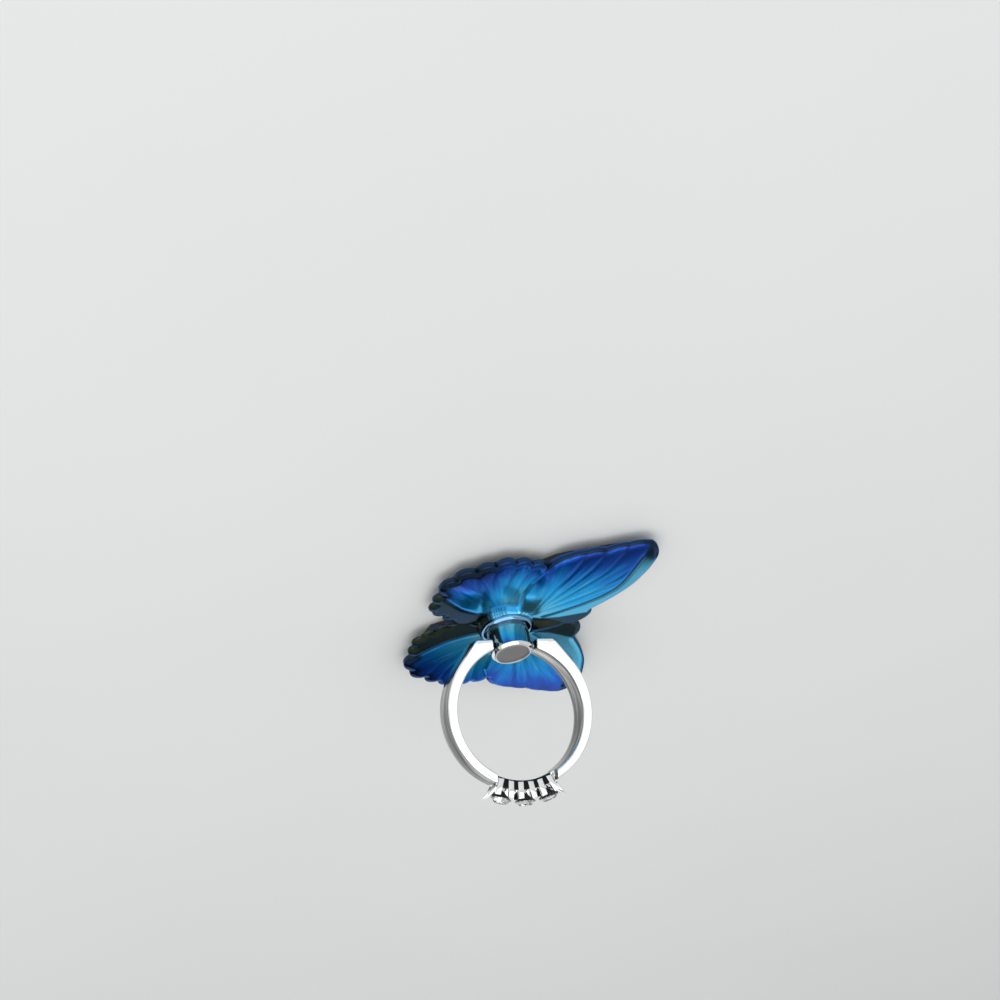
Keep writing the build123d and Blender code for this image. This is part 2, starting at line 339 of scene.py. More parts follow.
# %% Lines of the wing
fore_root = (3.4, 3.6)
hind_root = (-1.4, 3.6)
fore_veins = [
    [(9.5, 8.4), (15.0, 15.2), (17.0, 22.3)],
    [(8.0, 10.0), (11.8, 16.0), (13.4, 21.75)],
    [(6.2, 10.2), (8.8, 15.6), (10.1, 20.5)],
    [(4.4, 10.0), (6.0, 15.0), (7.0, 19.9)],
]
hind_veins = [
    [(-1.5, 8.8), (-1.5, 13.2), (-0.9, 16.9)],
    [(-3.0, 8.8), (-3.7, 13.2), (-3.6, 17.3)],
    [(-4.4, 8.4), (-6.2, 12.6), (-6.7, 16.5)],
    [(-5.4, 7.8), (-8.2, 11.4), (-9.3, 15.1)],
    [(-6.2, 6.8), (-10.2, 9.8), (-12.3, 12.9)],
]
costal_vein = [(5.4, 2.5), (10.2, 6.0), (13.7, 9.2), (15.3, 12.2), (16.0, 16.2), (16.4, 19.4)]
inner_vein = [(-13.1, 8.8), (-8.8, 4.9), (-4.8, 3.0), (-1.6, 2.4)]
crease = [(0.9, 0.0), (0.9, 3.9), (-0.1, 8.5), (0.2, 12.5), (1.7, 15.9), (2.2, 17.6)]
body_side = [(-9.0, 0.6), (-6.0, 1.7), (-2.0, 2.0), (4.0, 1.9), (8.2, 2.3), (13.6, 4.1)]
veins = [flowing([fore_root, *line]) for line in fore_veins]
veins += [flowing([hind_root, *line]) for line in hind_veins]
strong_veins = [flowing(costal_vein), flowing(inner_vein)]


def distance(points, line):
    """Shortest distance from each point to a line of straight runs."""
    a, run = line[:-1], line[1:] - line[:-1]
    length = np.maximum((run**2).sum(1), 1e-12)
    result = np.empty(len(points))
    for first in range(0, len(points), 4000):
        gap = points[first:first + 4000, None, :] - a
        along = np.clip((gap * run).sum(2) / length, 0, 1)
        result[first:first + 4000] = np.sqrt(((gap - along[..., None] * run) ** 2).sum(2).min(1))
    return result


def inside(points, loop):
    """True for the points that lie inside a closed loop."""
    a, b = loop, np.roll(loop, -1, 0)
    x, y = points[:, 0, None], points[:, 1, None]
    crosses = (a[:, 1] > y) != (b[:, 1] > y)
    rise = np.where(b[:, 1] == a[:, 1], 1.0, b[:, 1] - a[:, 1])
    return ((x < a[:, 0] + (y - a[:, 1]) / rise * (b[:, 0] - a[:, 0])) & crosses).sum(1) % 2 == 1


def rise(low, high, value):
    """Smooth step from 0 to 1."""
    t = np.clip((value - low) / (high - low), 0, 1)
    return t * t * (3 - 2 * t)


def wing_map(x, y):
    """What the wing is at each point: edge distance, veins, which wing, and how far out from its root."""
    p = np.stack((x, np.abs(y)), 1)
    crease_line = np.array(crease)
    body_line = np.array(body_side)
    costal_line = np.array(costal_vein)
    inner_line = np.array(inner_vein)
    fore = rise(-0.15, 0.15, p[:, 0] - np.interp(p[:, 1], crease_line[:, 1], crease_line[:, 0]))
    outer = distance(p, outer_edge)
    root = np.where(fore[:, None] > 0.5, np.array(fore_root), np.array(hind_root))
    out = np.linalg.norm(p - root, axis=1)
    fine = np.min([distance(p, line) for line in veins], 0)
    strong = np.min([distance(p, line) for line in strong_veins], 0)
    reach = out / (out + outer)
    past_costal = p[:, 0] - np.interp(p[:, 1], costal_line[:, 1], costal_line[:, 0])
    past_inner = np.interp(p[:, 0], inner_line[:, 0], inner_line[:, 1]) - p[:, 1]
    return {
        "rim": np.minimum(distance(p, front_edge), outer),
        "fore": fore,
        "reach": reach,
        "angle": np.arctan2(p[:, 1] - root[:, 1], p[:, 0] - root[:, 0]),
        "vein": np.exp(-(fine / (0.30 - 0.12 * reach)) ** 2),
        "line": np.exp(-(strong / 0.28) ** 2),
        "groove": np.exp(-(fine / 0.42) ** 2),
        "tip": np.exp(-(((p - np.array(wing_tip[1])) ** 2).sum(1) / 2.4**2)),
        "band": rise(0.0, 0.4, past_costal) * fore * rise(1.8, 3.0, p[:, 1]),
        "inner": rise(0.0, 0.35, past_inner) * rise(-1.2, -1.8, p[:, 0]),
        "body": rise(0.25, -0.15, p[:, 1] - np.interp(p[:, 0], body_line[:, 0], body_line[:, 1])),
    }


print("veins on half the butterfly:", len(veins) + len(strong_veins))


# %% [markdown]
# ## Butterfly base
# On the real holder the base is one moulding: a shallow vault with the wings' cells standing a little above
# the rim, and a rounded body under the post. Sculpting by hand would never keep both halves alike, so the
# sheet is triangulated between the outline and a grid of inner points, and its height is worked out from the
# wing lines. Extruding that sheet down to the adhesive then makes it solid, as by hand.

# %% Height of the wing
seat_height = 3.0
pad_thickness = 0.8
lip_height = 1.7
pad_scale = 0.86
fore_radius = 110.0
fore_crest = 12.0
hind_radius = 160.0
hind_crest = 17.5
crest_rise = 0.05
plate_drop = 0.35
hind_drop = 0.15
groove_share = 0.04
vein_share = 0.02
line_share = 0.30
roll_width = 0.4
roll_drop = 0.22
body_low = 1.7
body_high = 1.9
body_front = 11.8
body_back = -6.8
segment_start = -4.0
segment_pitch = 1.25
segment_width = 0.16
segment_depth = 0.07
seat_radius = 4.4


def relief(x, y):
    """Height of the butterfly's upper face over the floor."""
    lines = wing_map(x, y)
    vaults = []
    for radius, crest in ((hind_radius, hind_crest), (fore_radius, fore_crest)):
        vaults.append(np.sqrt(radius**2 - (np.abs(y) - crest) ** 2) - radius)
    vault = seat_height + crest_rise + vaults[0] + (vaults[1] - vaults[0]) * lines["fore"]
    field = hind_drop * (1 - lines["fore"])
    swell = rise(0.15, 0.95, lines["rim"])
    drop = plate_drop * (1 - swell) + field * swell
    cut = groove_share * lines["groove"] + vein_share * lines["vein"] + line_share * lines["line"]
    drop += (plate_drop - field) * swell * cut
    roll = np.clip(1 - lines["rim"] / roll_width, 0, 1)
    z = vault - drop - roll_drop * (1 - np.sqrt(1 - roll**2))
    half = (body_front - body_back) / 2
    middle = (body_front + body_back) / 2
    arc_radius = (half**2 + body_high**2) / (2 * body_high)
    inside_arc = np.maximum(arc_radius**2 - (x - middle) ** 2, 0)
    girth = np.sqrt(inside_arc) - arc_radius + body_high
    along = (x + 4.2) % segment_pitch - 0.6
    rings = segment_depth * np.exp(-((along / segment_width) ** 2)) * (x < segment_start)
    girth = np.maximum(girth, 0) * (1 - rings)
    ridge = body_low + np.sqrt(np.maximum(girth**2 - y**2, 0))
    z = np.where(np.abs(y) < girth, np.maximum(z, ridge), z)
    near = np.hypot(x, y)
    return np.where(near < seat_radius, seat_height, z)


def rim_rows(edge):
    """Rows of points close inside the edge, where the surface rolls over."""
    along = np.gradient(edge, axis=0)
    inward = np.stack((-along[:, 1], along[:, 0]), 1) / np.linalg.norm(along, axis=1)[:, None]
    rows = []
    for depth in (0.04, 0.1, 0.18, 0.28, 0.4, 0.56):
        row = edge + inward * depth
        clear = np.minimum(distance(row, front_edge), distance(row, outer_edge))
        rows.append(row[(clear > 0.9 * depth) & (row[:, 1] > 0.05)])
    return np.concatenate(rows)


# %% Triangulate the sheet
spacing = 0.22
columns = np.arange(-14.2, 19.8, spacing)
rows = np.arange(spacing, 22.6, spacing)
grid = np.stack(np.meshgrid(columns, rows), -1).reshape(-1, 2)
grid[:, 0] += np.where(np.round(grid[:, 1] / spacing) % 2 == 0, spacing / 2, 0)
grid = grid[inside(grid, half_edge)]
clear = np.minimum(distance(grid, front_edge), distance(grid, outer_edge))
grid = np.concatenate((grid[clear > 0.66], rim_rows(half_edge)))
spine = np.arange(tail_gap[0] + 0.4, head[0][0] - 0.3, spacing)
spine = np.stack((spine, np.zeros_like(spine)), 1)
flip = np.array((1.0, -1.0))
loop = np.concatenate((half_edge, (half_edge * flip)[-2:0:-1]))
flat = np.concatenate((loop, spine, grid, grid * flip))
cut = delaunay_2d_cdt([Vector(p) for p in flat], [], [list(range(len(loop)))], 1, 1e-7, False)
sheet_points = np.array([(p.x, p.y) for p in cut[0]])
sheet_faces = np.array(cut[2])
kept = inside(sheet_points[sheet_faces].mean(1), loop)
sheet_faces = sheet_faces[kept].tolist()
print("sheet of", len(sheet_points), "points and", len(sheet_faces), "faces")

# %% Make it solid
top = relief(sheet_points[:, 0], sheet_points[:, 1])
mesh = bpy.data.meshes.new("butterfly")
mesh.from_pydata((np.column_stack((sheet_points, top)) * mm).tolist(), [], sheet_faces)
butterfly = bpy.data.objects.new("butterfly", mesh)
scene.collection.objects.link(butterfly)


def only(piece):
    """Deselects everything, then selects and activates one object."""
    bpy.ops.object.select_all(action="DESELECT")
    piece.select_set(True)
    bpy.context.view_layer.objects.active = piece


def edit(piece):
    """Enters edit mode on one object and returns its editable mesh."""
    only(piece)
    bpy.ops.object.mode_set(mode="EDIT")
    return bmesh.from_edit_mesh(piece.data)


def leave():
    bpy.ops.object.mode_set(mode="OBJECT")


edit(butterfly)
bpy.ops.mesh.select_all(action="SELECT")
bpy.ops.mesh.extrude_region_move(TRANSFORM_OT_translate={"value": (0, 0, -0.5 * mm)})
sheet = bmesh.from_edit_mesh(butterfly.data)
for v in sheet.verts:
    if v.select:
        v.co.z = lip_height * mm
bmesh.update_edit_mesh(butterfly.data)
bpy.ops.mesh.dissolve_limited(angle_limit=radians(1))
bpy.ops.mesh.extrude_region_move(TRANSFORM_OT_translate={"value": (0, 0, 0)})
bpy.ops.transform.resize(value=(pad_scale, pad_scale, 1), center_override=(0, 0, lip_height * mm))
to_pad = (0, 0, (pad_thickness - lip_height) * mm)
bpy.ops.mesh.extrude_region_move(TRANSFORM_OT_translate={"value": to_pad})
bpy.ops.mesh.select_all(action="SELECT")
bpy.ops.mesh.normals_make_consistent(inside=False)
leave()
print("butterfly", len(butterfly.data.polygons), "faces", [round(d / mm, 2) for d in butterfly.dimensions])


# %% [markdown]
# The swivel hangs in a stepped hole under the post. A lathe profile is the natural tool for it, and for the
# post itself: a circle is extruded from one height to the next and scaled to each new radius, as on a lathe.

# %% Lathe helper
def lathe(name, profile, vertices=96):
    """Closed turned solid from (radius, height) pairs in millimetres, from the bottom to the top."""
    bpy.ops.object.select_all(action="DESELECT")
    radius, height = profile[0]
    bpy.ops.mesh.primitive_circle_add(
        vertices=vertices, radius=radius * mm, fill_type="NGON", location=(0, 0, height * mm)
    )
    piece = bpy.context.object
    piece.name = name
    bpy.ops.object.transform_apply(location=True, rotation=True, scale=True)
    bpy.ops.object.mode_set(mode="EDIT")
    bpy.ops.mesh.select_all(action="SELECT")
    for wide, high in profile[1:]:
        bpy.ops.mesh.extrude_region_move(TRANSFORM_OT_translate={"value": (0, 0, (high - height) * mm)})
        grow = wide / radius
        bpy.ops.transform.resize(value=(grow, grow, 1), center_override=(0, 0, high * mm))
        radius, height = wide, high
    bpy.ops.mesh.select_all(action="SELECT")
    bpy.ops.mesh.normals_make_consistent(inside=False)
    leave()
    return piece


def apply_modifiers(piece):
    only(piece)
    for modifier in list(piece.modifiers):
        bpy.ops.object.modifier_apply(modifier=modifier.name)


def soften(piece, width, segments=3, angle=30):
    """Rounds the edges sharper than an angle, and shades the faces between them smooth."""
    bevel = piece.modifiers.new("edge", "BEVEL")
    bevel.width = width * mm
    bevel.segments = segments
    bevel.limit_method = "ANGLE"
    bevel.angle_limit = radians(angle)
    bevel.harden_normals = False
    apply_modifiers(piece)
    bpy.ops.object.shade_smooth_by_angle(angle=radians(50))


cutter = lathe("recess", [(3.5, 0.4), (3.5, 2.1), (2.5, 2.1), (2.5, 3.6)])
bore = butterfly.modifiers.new("bore", "BOOLEAN")
bore.object = cutter
bore.operation = "DIFFERENCE"
apply_modifiers(butterfly)
bpy.data.objects.remove(cutter)
only(butterfly)
bpy.ops.object.shade_smooth_by_angle(angle=radians(48))
print("butterfly after boring", len(butterfly.data.polygons), "faces")


# %% [markdown]
# ## Blue resin
# The wings are printed under a clear gloss: pale cyan at the roots, azure, then royal blue and a dark edge,
# with dark veins, a pale front band and a black green body. The wing lines are stored on the mesh as
# attributes, so the paint bends with the wing. A nearly metallic shader gives the pearly depth that a plain
# gloss paint lacks.

# %% Paint attributes
points = np.empty(len(butterfly.data.vertices) * 3)
butterfly.data.vertices.foreach_get("co", points)
points = points.reshape(-1, 3) / mm
lines = wing_map(points[:, 0], points[:, 1])
wall_slack = 0.05
under_depth = 0.3
lines["wall"] = (points[:, 2] < lip_height + wall_slack).astype(float)
lines["under"] = lines["wall"] * (lines["rim"] > under_depth)
wing_layers = (
    "rim", "fore", "reach", "angle", "vein", "line", "tip", "band", "inner", "body", "wall", "under",
)
for name in wing_layers:
    layer = butterfly.data.attributes.new(name, "FLOAT", "POINT")
    layer.data.foreach_set("value", lines[name].astype(np.float32))
print("attributes:", [a.name for a in butterfly.data.attributes if not a.name.startswith(".")])

# %% Streaks of the paint
material, shader, start = new_material("blue_wing")


def read_layers(start, names):
    """Attribute nodes for the layers stored on a mesh."""
    return {name: start.node("ShaderNodeAttribute", {"attribute_name": name}, 2) for name in names}


read = read_layers(start, wing_layers)
fore, reach, angle = read["fore"], read["reach"], read["angle"]
place = object_place(start)
broad_place = start.node("ShaderNodeCombineXYZ", X=angle * 7.0, Y=reach * 1.6, Z=fore * 5.0)
fine_place = start.node("ShaderNodeCombineXYZ", X=angle * 24.0, Y=reach * 2.4, Z=fore * 9.0)
broad = noise(start, broad_place, 1.0, 4.0, 0.6)
fine = noise(start, fine_place, 1.0, 3.0, 0.6)
cloud = noise(start, place, 260.0, 3.0)
scales = noise(start, place, 2600.0, 2.0)
print("noises run along the veins and across the scales")

# %% Colour of the wing fields
pale_cyan = (0.17, 0.58, 0.78)
sky_blue = (0.06, 0.50, 0.84)
azure = (0.022, 0.40, 0.84)
cobalt = (0.012, 0.24, 0.70)
royal = (0.008, 0.095, 0.50)
navy = (0.006, 0.035, 0.26)
hind = 1.0 - fore
toward_tail = angle.step(1.75, 2.15)
lighter = hind * (1.0 - toward_tail) * 0.26 + fore * angle.step(1.20, 1.60) * 0.08
lighter = lighter + hind * angle.step(2.30, 2.70) * 0.20 + fore * 0.08
depth = reach - lighter + (broad - 0.5) * 0.5 + (fine - 0.5) * 0.30 + (cloud - 0.5) * 0.14
field = depth.ramp(
    (0.0, pale_cyan), (0.20, sky_blue), (0.42, azure), (0.58, cobalt), (0.72, royal), (0.92, navy),
)
# Pale glints in the outer field of each wing are painted highlights.
painted_glint = fine.step(0.60, 0.74) * reach.step(0.45, 0.62) * (1.0 - reach.step(0.84, 0.94))
field = (painted_glint * 0.35).mix(field, rgb(0.14, 0.48, 0.84))
# Pale streaks between the roots and the middle of each wing are partly the wing's own print and partly a
# painted highlight.
pale_streak_and_highlight = (1.0 - fine.step(0.34, 0.46)) * reach.step(0.15, 0.30) * (1.0 - reach.step(0.50, 0.70))
field = (pale_streak_and_highlight * 0.30).mix(field, rgb(0.34, 0.66, 0.78))
print("fields from pale cyan to navy")

# %% Band, veins, edge and body
pale = (cloud * 0.7 + broad * 0.3).mix(rgb(0.07, 0.42, 0.66), rgb(0.20, 0.62, 0.80))
pale = reach.step(0.72, 0.92).mix(pale, rgb(0.006, 0.022, 0.04))
colour = read["band"].mix(field, pale)
vein = (read["vein"] * broad * 0.40).most(read["line"] * 0.85)
colour = vein.mix(colour, rgb(0.004, 0.035, 0.12))
edge_width = 0.42 + hind * (0.25 + toward_tail * 1.1) + (cloud - 0.5) * 0.4
tip = (read["tip"] + (cloud - 0.5) * 0.3).step(0.30, 0.75)
edge = (1.0 - (read["rim"] / edge_width).step(0.5, 1.15)).most(tip)
edge_paint = toward_tail.most(fore).mix(rgb(0.006, 0.035, 0.13), rgb(0.006, 0.018, 0.03))
colour = (edge * 0.95).mix(colour, edge_paint)
shaded = read["inner"].most(read["body"])
colour = shaded.mix(colour, cloud.mix(rgb(0.013, 0.020, 0.010), rgb(0.033, 0.046, 0.028)))
wall_paint = fore.mix(rgb(0.006, 0.025, 0.07), rgb(0.008, 0.055, 0.26))
under_paint = rgb(0.035, 0.04, 0.045)
colour = read["under"].mix(read["wall"].mix(colour, wall_paint), under_paint)
grain = scales.mix(rgb(0.88, 0.88, 0.88), rgb(1.0, 1.0, 1.0))
multiply = {"data_type": "RGBA", "blend_type": "MULTIPLY"}
colour = start.node("ShaderNodeMix", multiply, 2, i0=1.0, i6=colour, i7=grain)
print("band, veins, edge and body laid over the fields")

# %% Gloss
wire(
    shader,
    Base_Color=colour,
    Metallic=0.92 - read["wall"] * 0.9,
    Roughness=0.14 + cloud * 0.07 + shaded * 0.10 + read["wall"] * 0.35,
    Specular_Tint=rgb(0.25, 0.55, 1.0),
    Coat_Weight=0.18,
    Coat_Roughness=0.03,
    Normal=bump(start, scales * 0.3 + cloud * 0.7, 0.10, 0.00012),
)
butterfly.data.materials.append(material)
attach(butterfly, "base")
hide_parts("butterfly_base")
print("painted", butterfly.name)


# %% [markdown]
# ## Swivel collar and post
# Both are turned from bar and chromed. Below its bright bevelled rim the post's column is painted dark teal,
# a painted reflection of dark surroundings, and its end is a satin disc, so one material has three looks,
# split by the height and the distance from the axis.

# %% Chrome
def chrome(name, tint, finish=None):
    """Bright plated metal with a faint polishing haze; a finish may change its colour and roughness."""
    material, shader, start = new_material(name)
    place = object_place(start)
    haze = noise(start, place, 420.0, 4.0)
    wisps = noise(start, place, 3200.0, 2.0)
    colour = haze.mix(rgb(*(0.94 * c for c in tint)), rgb(*tint))
    rough = 0.03 + haze * 0.03
    if finish:
        colour, rough = finish(start, place, colour, rough)
    wire(shader, Base_Color=colour, Metallic=1.0, Roughness=rough)
    wire(shader, Normal=bump(start, haze * 0.8 + wisps * 0.2, 0.06, 0.0001))
    return material


def turned_lines(start, place, scale, distortion, detail):
    """Fine rings around the swivel axis, as a lathe tool leaves them."""
    settings = {"wave_type": "RINGS", "rings_direction": "Z"}
    inputs = {"Vector": place, "Scale": scale, "Distortion": distortion, "Detail": detail}
    return start.node("ShaderNodeTexWave", settings, 1, **inputs)


def satin_end_and_painted_column(start, place, colour, rough):
    """Painted dark teal reflection on the column of the post, and turned satin on the sunk disc at its end.
    """
    parts = [start.node("ShaderNodeSeparateXYZ", out=axis, Vector=place) for axis in range(3)]
    away = (parts[0] * parts[0] + parts[1] * parts[1]).power(0.5)
    mask = (1.0 - away.step(2.62 * mm, 2.68 * mm)) * parts[2].step(7.55 * mm, 7.62 * mm)
    turned = turned_lines(start, place, 2600.0, 1.2, 1.0)
    satin = turned.mix(rgb(0.24, 0.245, 0.24), rgb(0.31, 0.31, 0.30))
    # Painted reflection: below the rim the column is painted dark teal, standing in for the dark surroundings
    # its chrome reflects.
    painted_column_reflection = 1.0 - parts[2].step(7.25 * mm, 7.40 * mm)
    colour = painted_column_reflection.mix(colour, rgb(0.30, 0.39, 0.41))
    return mask.mix(colour, satin), rough + mask * (0.26 + turned * 0.08)


bright = (0.80, 0.81, 0.82)
# The collar's blue tint is partly its own blue and partly a painted reflection of the blue wings.
own_blue_and_wing_reflection = (0.22, 0.40, 0.56)
collar = lathe("swivel_collar", [
    (2.48, 2.1), (2.48, 3.0), (4.1, 3.0), (4.1, 3.35), (3.86, 3.66), (3.45, 3.75), (1.55, 3.75),
])
soften(collar, 0.09, 3)
collar.data.materials.append(chrome("chrome_collar", own_blue_and_wing_reflection))
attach(collar, "base")
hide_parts("swivel_bush")
print("collar", [round(d / mm, 2) for d in collar.dimensions])

# %% Post
post = lathe("post", [
    (2.2, 0.99), (2.2, 1.39), (1.5, 1.39), (1.5, 3.78), (3.1, 3.78), (3.1, 3.98), (3.3, 4.18),
    (3.3, 7.35), (2.9, 7.75), (2.66, 7.75), (2.6, 7.65), (2.0, 7.65), (1.0, 7.65), (0.3, 7.65),
])
soften(post, 0.07, 3)
post.data.materials.append(chrome("chrome_post", bright, satin_end_and_painted_column))
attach(post, "post")
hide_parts("swivel_post")
print("post", [round(d / mm, 2) for d in post.dimensions])


# %% [markdown]
# ## Finger ring
# The band is a bar bent to a circle, open where the post stands between its two flat-topped ends. It starts
# as a circle whose gap is deleted, is extruded to the outer line and then across its width, and a bevel gives
# the polished edges. It is made lying flat at the origin and tilted into place at the end.

# %% Band
inner_radius = 10.35
inner_centre = 10.45
outer_radius = 11.95
outer_centre = 10.2
ring_width = 4.2
flat_height = 0.85
end_gap = 3.6
shoulder_turn = radians(52)
waist_half = 0.65
waist_reach = 5.0
waist_rise = 4.2
pivot_height = 6.35
tilt = radians(22)
side_spot = (outer_radius * sin(shoulder_turn), outer_centre - outer_radius * cos(shoulder_turn))
shoulder_run = (side_spot[1] + flat_height) / sin(shoulder_turn)
corner = side_spot[0] - shoulder_run * cos(shoulder_turn)
end_low = inner_centre - sqrt(inner_radius**2 - end_gap**2)


def outer_line(count_side, count_round):
    """Outside of the band from its right end over the shoulder and round to the left end."""
    half = [(end_gap, -flat_height), (corner, -flat_height)]
    for k in range(1, count_side + 1):
        part = k / count_side
        rise_here = (side_spot[1] + flat_height) * part
        half.append((corner + (side_spot[0] - corner) * part, -flat_height + rise_here))
    first = shoulder_turn - pi / 2
    for k in range(1, count_round):
        turn = first + (pi / 2 - first) * k / count_round
        half.append((outer_radius * cos(turn), outer_centre + outer_radius * sin(turn)))
    return half + [(0.0, outer_centre + outer_radius)] + [(-u, v) for u, v in reversed(half)]


outer = outer_line(6, 72)
first = atan2(end_low - inner_centre, end_gap)
turns = np.linspace(first, pi - first, len(outer))
inner = [(inner_radius * cos(t), inner_centre + inner_radius * sin(t)) for t in turns]
bpy.ops.object.select_all(action="DESELECT")
bpy.ops.mesh.primitive_circle_add(vertices=len(outer), radius=inner_radius * mm)
band = bpy.context.object
band.name = "ring"
shape = edit(band)
shape.verts.ensure_lookup_table()
for v, (u, w) in zip(shape.verts, inner):
    v.co = (u * mm, w * mm, -ring_width / 2 * mm)
shape.edges.ensure_lookup_table()
for e in shape.edges:
    e.select = {v.index for v in e.verts} == {0, len(outer) - 1}
bmesh.update_edit_mesh(band.data)
bpy.ops.mesh.delete(type="EDGE")
bpy.ops.mesh.select_all(action="SELECT")
bpy.ops.mesh.extrude_edges_move(TRANSFORM_OT_translate={"value": (0, 0, 0)})
shape = bmesh.from_edit_mesh(band.data)
moved = [v for v in shape.verts if v.select]
moved.sort(key=lambda v: v.index)
for v, (u, w) in zip(moved, outer):
    v.co = (u * mm, w * mm, -ring_width / 2 * mm)
bmesh.update_edit_mesh(band.data)
bpy.ops.mesh.select_all(action="SELECT")
bpy.ops.mesh.extrude_region_move(TRANSFORM_OT_translate={"value": (0, 0, ring_width * mm)})
bpy.ops.mesh.select_all(action="SELECT")
bpy.ops.mesh.normals_make_consistent(inside=False)
leave()
soften(band, 0.30, 4, 35)
print("band", len(band.data.polygons), "faces")

# %% Recess under the stones
recess_depth = 3.0
bpy.ops.object.select_all(action="DESELECT")
for face in (-1, 1):
    bpy.ops.mesh.primitive_cube_add(size=1.0, location=(
        0, (inner_centre + outer_radius) * mm, face * (waist_half + recess_depth / 2) * mm,
    ))
    cutter = bpy.context.object
    cutter.scale = (2 * waist_reach * mm, 2 * waist_rise * mm, recess_depth * mm)
    bpy.ops.object.transform_apply(location=True, rotation=True, scale=True)
    cut_out = band.modifiers.new("recess", "BOOLEAN")
    cut_out.object = cutter
    cut_out.operation = "DIFFERENCE"
    apply_modifiers(band)
    bpy.data.objects.remove(cutter)
soften(band, 0.10, 2, 60)


def face_layer(piece, name, values):
    layer = piece.data.attributes.new(name, "FLOAT", "FACE")
    layer.data.foreach_set("value", values)


faces = band.data.polygons
reach_slack = 0.05
half_slack = 0.08
setting_low = 18
face_layer(band, "side", [1.0 - abs(f.normal.z) for f in faces])
recess = []
for f in faces:
    under_stones = abs(f.center.x) < (waist_reach + reach_slack) * mm and f.center.y > setting_low * mm
    sunk = abs(f.center.z) < (waist_half + half_slack) * mm
    recess.append(float(under_stones and sunk))
face_layer(band, "recess", recess)
for name in ("across", "turn"):
    layer = band.data.attributes.new(name, "FLOAT", "POINT")
    for v, item in zip(band.data.vertices, layer.data):
        u, w, z = v.co / mm
        item.value = z / ring_width if name == "across" else atan2(u, w - inner_centre)
print("band with its recess", len(band.data.polygons), "faces")


# %% [markdown]
# Each stone stands on four broad bars that lean outward from the band, and a pair of pointed claws closes
# each end of the row. One bar is modelled from a cube and copied to the four corners of each stone.

# %% Bars
seat_sink = 0.25
culet_gap = 0.45
pavilion_depth = 1.3
stone_pitch = 4.0
girdle_height = outer_radius - seat_sink + culet_gap + pavilion_depth
stone_step = stone_pitch / girdle_height
bar_width = 0.95
foot_inset = 0.15
bar_foot = (0.8, 0.2, 1.05, inner_radius + foot_inset - girdle_height)
bar_tip = (1.1, 1.1, 1.6, -0.3)


def stone_matrix(step):
    """Frame of one stone while the ring lies flat: z runs outward along the ring's radius."""
    turn = step * stone_step
    out = Vector((sin(turn), cos(turn), 0))
    along = Vector((cos(turn), -sin(turn), 0))
    columns = Matrix((along, out.cross(along), out)).transposed().to_4x4()
    return Matrix.Translation((Vector((0, inner_centre, 0)) + out * girdle_height) * mm) @ columns


bpy.ops.object.select_all(action="DESELECT")
bpy.ops.mesh.primitive_cube_add(size=1.0)
bar = bpy.context.object
bar.name = "bar"
shape = edit(bar)
for v in shape.verts:
    centre, inner_face, outer_face, height = bar_tip if v.co.z > 0 else bar_foot
    v.co.x = (centre + v.co.x * bar_width) * mm
    v.co.y = (outer_face if v.co.y > 0 else inner_face) * mm
    v.co.z = height * mm
bmesh.update_edit_mesh(bar.data)
leave()
soften(bar, 0.14, 3)


def placed_copy(piece, matrix, name):
    """Copy of a finished piece with its own mesh, put in place in its vertices."""
    copy = piece.copy()
    copy.data = piece.data.copy()
    copy.name = name
    copy.data.transform(matrix)
    scene.collection.objects.link(copy)
    return copy


setting = []
for step in (-1, 0, 1):
    for side_x in (-1, 1):
        for side_y in (-1, 1):
            corner_turn = Matrix.Diagonal((side_x, side_y, 1, 1))
            copy = placed_copy(bar, stone_matrix(step) @ corner_turn, "bar_copy")
            if side_x * side_y < 0:
                copy.data.flip_normals()
            setting.append(copy)
bpy.data.objects.remove(bar)
print("bars:", len(setting))

# %% Claws
claw_foot = (1.4, 0.75, -1.25)
claw_tip = (2.68, 0.65, 0.66)
bpy.ops.object.select_all(action="DESELECT")
bpy.ops.mesh.primitive_cone_add(vertices=10, radius1=0.55 * mm, radius2=0.05 * mm, depth=1.0 * mm)
claw = bpy.context.object
claw.name = "claw"
soften(claw, 0.05, 2)
for end in (-1, 1):
    for lean in (-1, 1):
        foot = Vector((end * claw_foot[0], lean * claw_foot[1], claw_foot[2])) * mm
        point = Vector((end * claw_tip[0], lean * claw_tip[1], claw_tip[2])) * mm
        run = point - foot
        pointing = run.to_track_quat("Z", "Y").to_matrix().to_4x4()
        stretch = Matrix.Diagonal((1, 1, run.length / mm, 1))
        matrix = stone_matrix(end) @ Matrix.Translation((foot + point) / 2) @ pointing @ stretch
        setting.append(placed_copy(claw, matrix, "claw_copy"))
bpy.data.objects.remove(claw)
only(band)
for piece in setting:
    piece.select_set(True)
bpy.ops.object.join()
print("ring with its setting", len(band.data.polygons), "faces")

